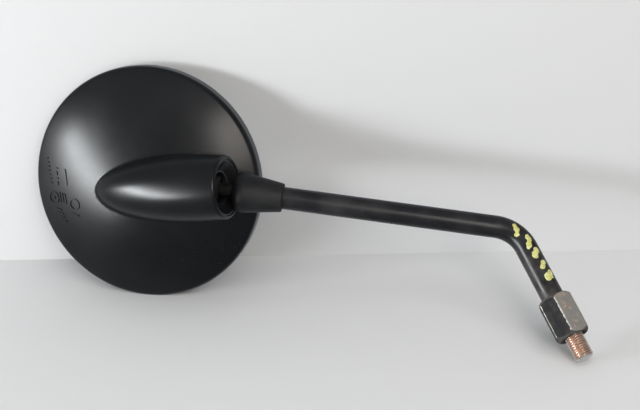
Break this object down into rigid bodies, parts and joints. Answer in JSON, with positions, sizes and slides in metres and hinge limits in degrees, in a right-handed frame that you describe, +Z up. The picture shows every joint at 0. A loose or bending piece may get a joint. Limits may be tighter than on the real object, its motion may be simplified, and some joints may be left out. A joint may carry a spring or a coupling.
{
  "type": "motorcycle mirror",
  "caption": "Round rear-view mirror in a domed plastic shell with a ball joint boss, on a bent round stem with a rubber boot, a long lock nut and a short threaded stud",
  "frame": {"origin": "centre of the lock nut's lower face, on the threaded stud's axis", "axes": "+Z up the stud's axis into the stem, +X towards the mirror head in the plane of the stem's bend, the shell's outside faces +X +Y"},
  "size_m": [0.2386, 0.097, 0.2515],
  "materials": {
    "shell_plastic": "satin black moulded plastic",
    "boot_rubber": "matt black rubber",
    "gasket_rubber": "matt black rubber",
    "stem_paint": "semi-gloss black paint, chipped",
    "nut_paint": "black paint worn to steel",
    "stud_steel": "rust-stained steel thread",
    "black_steel": "black-oxide steel, oiled",
    "steel": "plain steel",
    "nylon": "black nylon",
    "foam": "closed-cell foam",
    "backing_card": "grey plastic sheet",
    "mirror_face": "silvered glass"
  },
  "bodies": {
    "stem": {"threaded_stud": "stud_steel", "stem_tube": "stem_paint", "ball_stud": "black_steel"},
    "seal": {"nut_seal_ring": "gasket_rubber"},
    "nut": {"lock_nut": "nut_paint"},
    "boot": {"stem_boot": "boot_rubber"},
    "cap": {"ball_cap": "nylon"},
    "cup": {"rear_seat_cup": "nylon"},
    "head": {"mirror_housing": "shell_plastic", "glass_gasket": "gasket_rubber", "mirror_glass": "mirror_face", "foam_pad": "foam", "backing_plate": "backing_card", "front_seat_ring": "nylon", "seat_spring": "steel", "clamp_plate": "steel", "screw_washer_1": "steel", "screw_washer_2": "steel", "screw_washer_3": "steel", "clamp_screw_1": "steel", "clamp_screw_2": "steel", "clamp_screw_3": "steel"}
  },
  "joints": [
    {"name": "nut_travel", "type": "slide", "parent": "stem", "child": "seal", "axis": [0, 0, 1], "range_m": [-0.01, 0]},
    {"name": "nut_turn", "type": "hinge", "parent": "seal", "child": "nut", "pos_m": [0, 0, 0], "axis": [0, 0, 1], "range_deg": [-2880, 0]},
    {"name": "boot_slide", "type": "slide", "parent": "stem", "child": "boot", "axis": [-0.8625, 0, -0.506], "range_m": [0, 0.03]},
    {"name": "head_turn", "type": "hinge", "parent": "stem", "child": "cap", "pos_m": [0.14231, 0, 0.1481], "axis": [-0.8625, 0, -0.506], "continuous": true},
    {"name": "head_tilt", "type": "hinge", "parent": "cap", "child": "cup", "pos_m": [0.14231, 0, 0.1481], "axis": [-0.5057, 0.0387, 0.8619], "range_deg": [0, 41.5]},
    {"name": "head_roll", "type": "hinge", "parent": "cup", "child": "head", "pos_m": [0.14231, 0, 0.1481], "axis": [-0.7987, 0.3567, -0.4846], "continuous": true}
  ],
  "couplings": [
    {"joint": "nut_travel", "follows": "nut_turn", "m_per_rad": 0.0001989}
  ]
}
